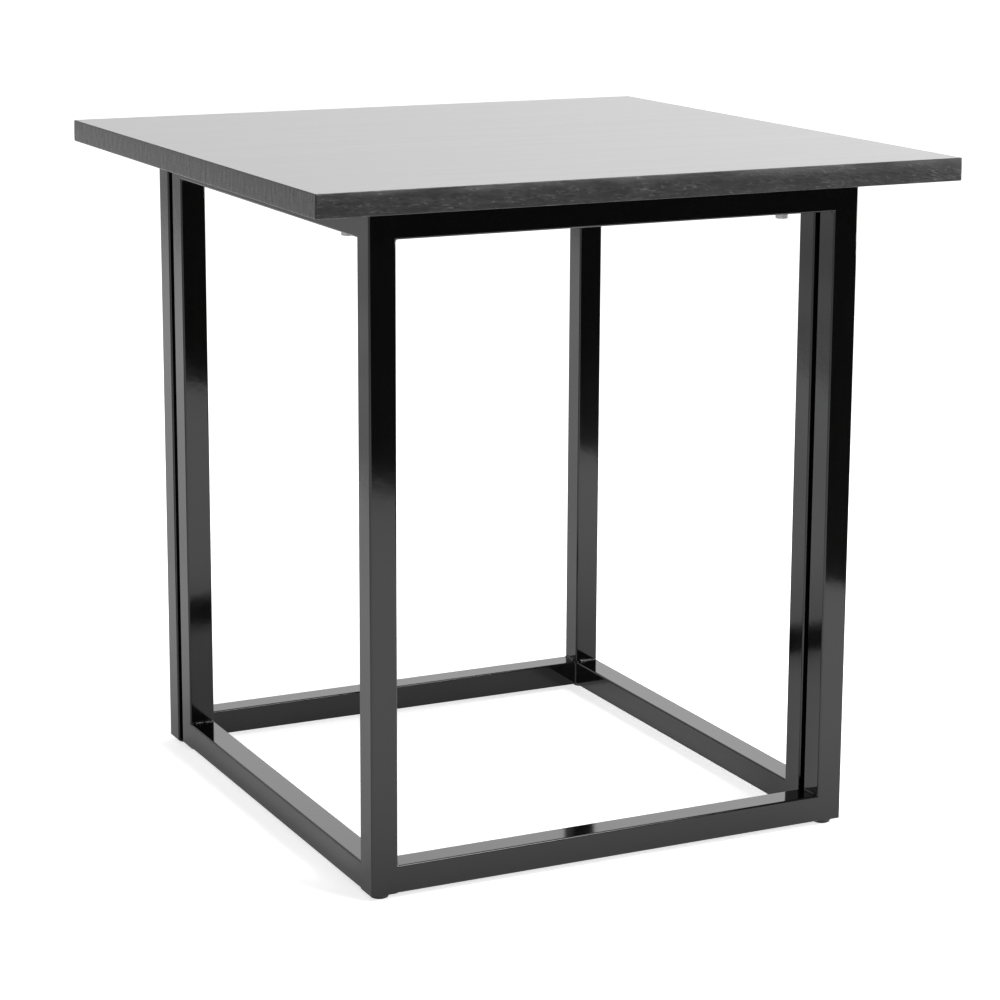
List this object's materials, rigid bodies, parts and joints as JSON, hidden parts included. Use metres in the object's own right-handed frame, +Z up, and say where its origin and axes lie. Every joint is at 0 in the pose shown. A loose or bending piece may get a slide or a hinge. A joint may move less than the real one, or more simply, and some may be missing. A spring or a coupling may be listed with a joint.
{
  "type": "bistro table",
  "caption": "Square bistro table: black-stained wood top with a thin square edge on a gloss-black base of two L-shaped square-tube frames, on screw-in levelling feet.",
  "frame": {"origin": "on the floor, under the centre of the square top", "axes": "+Z up; -Y towards the front, where the top overhangs the base least; +X to the right, along the wood grain"},
  "size_m": [0.75, 0.75, 0.747],
  "materials": {
    "tabletop_wood": "black stain under satin lacquer, coarse sawn edges",
    "frame_steel": "high-gloss black",
    "screw_steel": "zinc plated",
    "insert_brass": "plain",
    "pad_plastic": "moulded black",
    "plug_plastic": "moulded grey"
  },
  "bodies": {
    "table": {"top_board_1": "tabletop_wood", "top_board_2": "tabletop_wood", "top_board_3": "tabletop_wood", "top_board_4": "tabletop_wood", "top_board_5": "tabletop_wood", "top_board_6": "tabletop_wood", "top_board_7": "tabletop_wood", "top_insert_1": "insert_brass", "top_insert_2": "insert_brass", "top_insert_3": "insert_brass", "top_insert_4": "insert_brass", "front_frame_bottom_rail_front": "frame_steel", "front_frame_top_rail_front": "frame_steel", "front_frame_screw_front": "screw_steel", "front_frame_bottom_rail_left": "frame_steel", "front_frame_top_rail_left": "frame_steel", "front_frame_screw_left": "screw_steel", "front_frame_leg_corner": "frame_steel", "front_frame_plug_corner": "plug_plastic", "front_frame_leg_right": "frame_steel", "front_frame_plug_right": "plug_plastic", "front_frame_leg_back": "frame_steel", "front_frame_plug_back": "plug_plastic", "rear_frame_bottom_rail_back": "frame_steel", "rear_frame_top_rail_back": "frame_steel", "rear_frame_screw_back": "screw_steel", "rear_frame_bottom_rail_right": "frame_steel", "rear_frame_top_rail_right": "frame_steel", "rear_frame_screw_right": "screw_steel", "rear_frame_leg_corner": "frame_steel", "rear_frame_plug_corner": "plug_plastic", "rear_frame_leg_left": "frame_steel", "rear_frame_plug_left": "plug_plastic", "rear_frame_leg_front": "frame_steel", "rear_frame_plug_front": "plug_plastic"},
    "front_frame_foot_corner": {"front_frame_pad_corner": "pad_plastic"},
    "front_frame_foot_stud_corner": {"front_frame_stud_corner": "screw_steel"},
    "front_frame_foot_right": {"front_frame_pad_right": "pad_plastic"},
    "front_frame_foot_stud_right": {"front_frame_stud_right": "screw_steel"},
    "front_frame_foot_back": {"front_frame_pad_back": "pad_plastic"},
    "front_frame_foot_stud_back": {"front_frame_stud_back": "screw_steel"},
    "rear_frame_foot_corner": {"rear_frame_pad_corner": "pad_plastic"},
    "rear_frame_foot_stud_corner": {"rear_frame_stud_corner": "screw_steel"},
    "rear_frame_foot_left": {"rear_frame_pad_left": "pad_plastic"},
    "rear_frame_foot_stud_left": {"rear_frame_stud_left": "screw_steel"},
    "rear_frame_foot_front": {"rear_frame_pad_front": "pad_plastic"},
    "rear_frame_foot_stud_front": {"rear_frame_stud_front": "screw_steel"}
  },
  "joints": [
    {"name": "front_frame_foot_corner_travel", "type": "slide", "parent": "table", "child": "front_frame_foot_corner", "axis": [0, 0, -1], "range_m": [0, 0.01]},
    {"name": "front_frame_foot_corner_turn", "type": "hinge", "parent": "front_frame_foot_corner", "child": "front_frame_foot_stud_corner", "pos_m": [-0.2885, -0.323, 0.006], "axis": [0, 0, -1], "range_deg": [0, 2880]},
    {"name": "front_frame_foot_right_travel", "type": "slide", "parent": "table", "child": "front_frame_foot_right", "axis": [0, 0, -1], "range_m": [0, 0.01]},
    {"name": "front_frame_foot_right_turn", "type": "hinge", "parent": "front_frame_foot_right", "child": "front_frame_foot_stud_right", "pos_m": [0.2535, -0.323, 0.006], "axis": [0, 0, -1], "range_deg": [0, 2880]},
    {"name": "front_frame_foot_back_travel", "type": "slide", "parent": "table", "child": "front_frame_foot_back", "axis": [0, 0, -1], "range_m": [0, 0.01]},
    {"name": "front_frame_foot_back_turn", "type": "hinge", "parent": "front_frame_foot_back", "child": "front_frame_foot_stud_back", "pos_m": [-0.2885, 0.219, 0.006], "axis": [0, 0, -1], "range_deg": [0, 2880]},
    {"name": "rear_frame_foot_corner_travel", "type": "slide", "parent": "table", "child": "rear_frame_foot_corner", "axis": [0, 0, -1], "range_m": [0, 0.01]},
    {"name": "rear_frame_foot_corner_turn", "type": "hinge", "parent": "rear_frame_foot_corner", "child": "rear_frame_foot_stud_corner", "pos_m": [0.2505, 0.254, 0.006], "axis": [0, 0, -1], "range_deg": [0, 2880]},
    {"name": "rear_frame_foot_left_travel", "type": "slide", "parent": "table", "child": "rear_frame_foot_left", "axis": [0, 0, -1], "range_m": [0, 0.01]},
    {"name": "rear_frame_foot_left_turn", "type": "hinge", "parent": "rear_frame_foot_left", "child": "rear_frame_foot_stud_left", "pos_m": [-0.2915, 0.254, 0.006], "axis": [0, 0, -1], "range_deg": [0, 2880]},
    {"name": "rear_frame_foot_front_travel", "type": "slide", "parent": "table", "child": "rear_frame_foot_front", "axis": [0, 0, -1], "range_m": [0, 0.01]},
    {"name": "rear_frame_foot_front_turn", "type": "hinge", "parent": "rear_frame_foot_front", "child": "rear_frame_foot_stud_front", "pos_m": [0.2505, -0.288, 0.006], "axis": [0, 0, -1], "range_deg": [0, 2880]}
  ],
  "couplings": [
    {"joint": "front_frame_foot_corner_turn", "follows": "front_frame_foot_corner_travel", "rad_per_m": 5026.5},
    {"joint": "front_frame_foot_right_turn", "follows": "front_frame_foot_right_travel", "rad_per_m": 5026.5},
    {"joint": "front_frame_foot_back_turn", "follows": "front_frame_foot_back_travel", "rad_per_m": 5026.5},
    {"joint": "rear_frame_foot_corner_turn", "follows": "rear_frame_foot_corner_travel", "rad_per_m": 5026.5},
    {"joint": "rear_frame_foot_left_turn", "follows": "rear_frame_foot_left_travel", "rad_per_m": 5026.5},
    {"joint": "rear_frame_foot_front_turn", "follows": "rear_frame_foot_front_travel", "rad_per_m": 5026.5}
  ]
}
